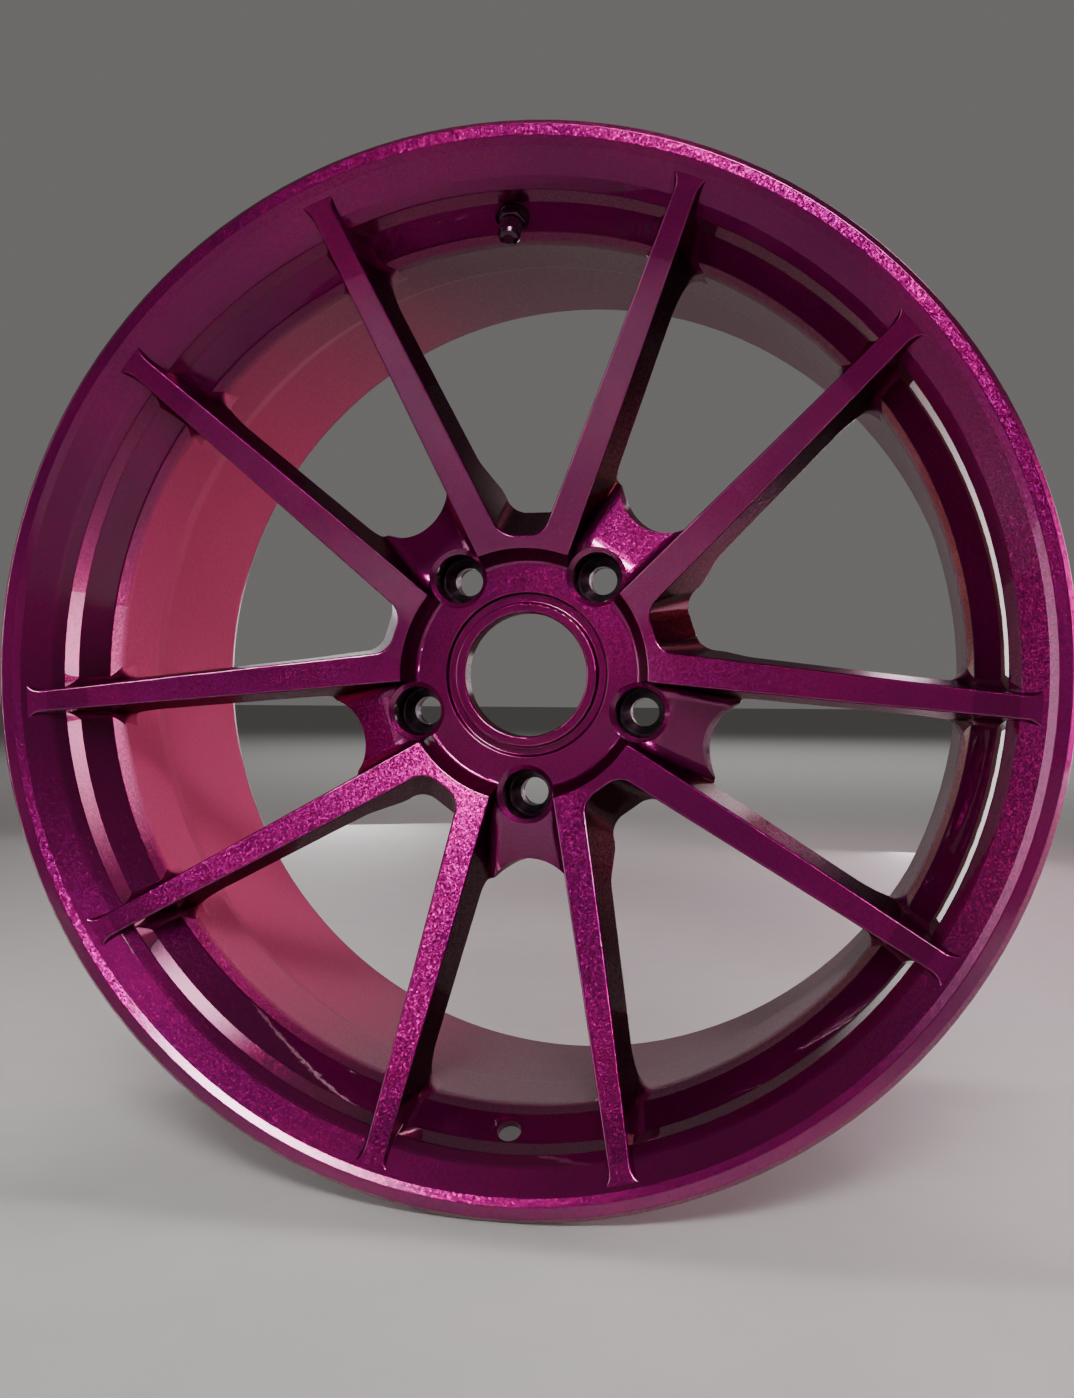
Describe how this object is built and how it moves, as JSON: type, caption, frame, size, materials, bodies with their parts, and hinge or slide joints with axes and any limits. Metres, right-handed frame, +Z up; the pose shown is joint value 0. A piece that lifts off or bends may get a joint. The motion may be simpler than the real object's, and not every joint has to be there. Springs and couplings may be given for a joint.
{
  "type": "wheel rim",
  "caption": "Forged deep-concave racing wheel rim with twin spokes, conical bolt seats, hub-centric ring and clamp-in tyre valve.",
  "frame": {"origin": "centre of the rim, midway between its two flanges on the axis of rotation", "axes": "+Y is the axis of rotation and points inboard, so the outboard (street) face looks along -Y; +Z is up, through the valve"},
  "size_m": [0.4965, 0.2272, 0.4966],
  "materials": {
    "rim_paint": "forged aluminium painted candy magenta metallic under gloss clear coat, dry matte overspray inside the barrel",
    "seat_steel": "machined steel, oversprayed",
    "ring_aluminium": "turned",
    "spring_steel": "drawn wire",
    "valve_metal": "black anodised",
    "core_brass": "turned",
    "black_rubber": "matte"
  },
  "bodies": {
    "root": {"wheel_forging": "rim_paint", "bolt_seat_insert_1": "seat_steel", "bolt_seat_insert_2": "seat_steel", "bolt_seat_insert_3": "seat_steel", "bolt_seat_insert_4": "seat_steel", "bolt_seat_insert_5": "seat_steel", "hub_centric_ring": "ring_aluminium", "hub_ring_wire_clip": "spring_steel", "valve_stem": "valve_metal", "valve_inner_seal": "black_rubber", "valve_outer_seal": "black_rubber", "valve_washer": "valve_metal", "valve_nut": "valve_metal", "valve_core_body": "core_brass", "valve_core_seal": "black_rubber", "valve_core_spring": "spring_steel"},
    "valve_pin": {"valve_core_pin": "core_brass", "valve_pin_seal": "black_rubber"},
    "valve_cap_disc": {"valve_cap_seal": "black_rubber"},
    "valve_cap_shell": {"valve_cap": "valve_metal"}
  },
  "joints": [
    {"name": "valve_pin_press", "type": "slide", "parent": "root", "child": "valve_pin", "axis": [0, 0.5835, 0.8121], "range_m": [0, 0.0012], "stiffness_N_per_m": 900, "springref_m": -0.001, "deforming": ["valve_core_spring"]},
    {"name": "valve_cap_lift", "type": "slide", "parent": "root", "child": "valve_cap_disc", "axis": [0, -0.5835, -0.8121], "range_m": [0, 0.00397]},
    {"name": "valve_cap_turn", "type": "hinge", "parent": "valve_cap_disc", "child": "valve_cap_shell", "pos_m": [0, -0.077, 0.2177], "axis": [0, -0.5835, -0.8121], "range_deg": [0, 1800]}
  ],
  "couplings": [
    {"joint": "valve_cap_turn", "follows": "valve_cap_lift", "rad_per_m": 7913}
  ]
}
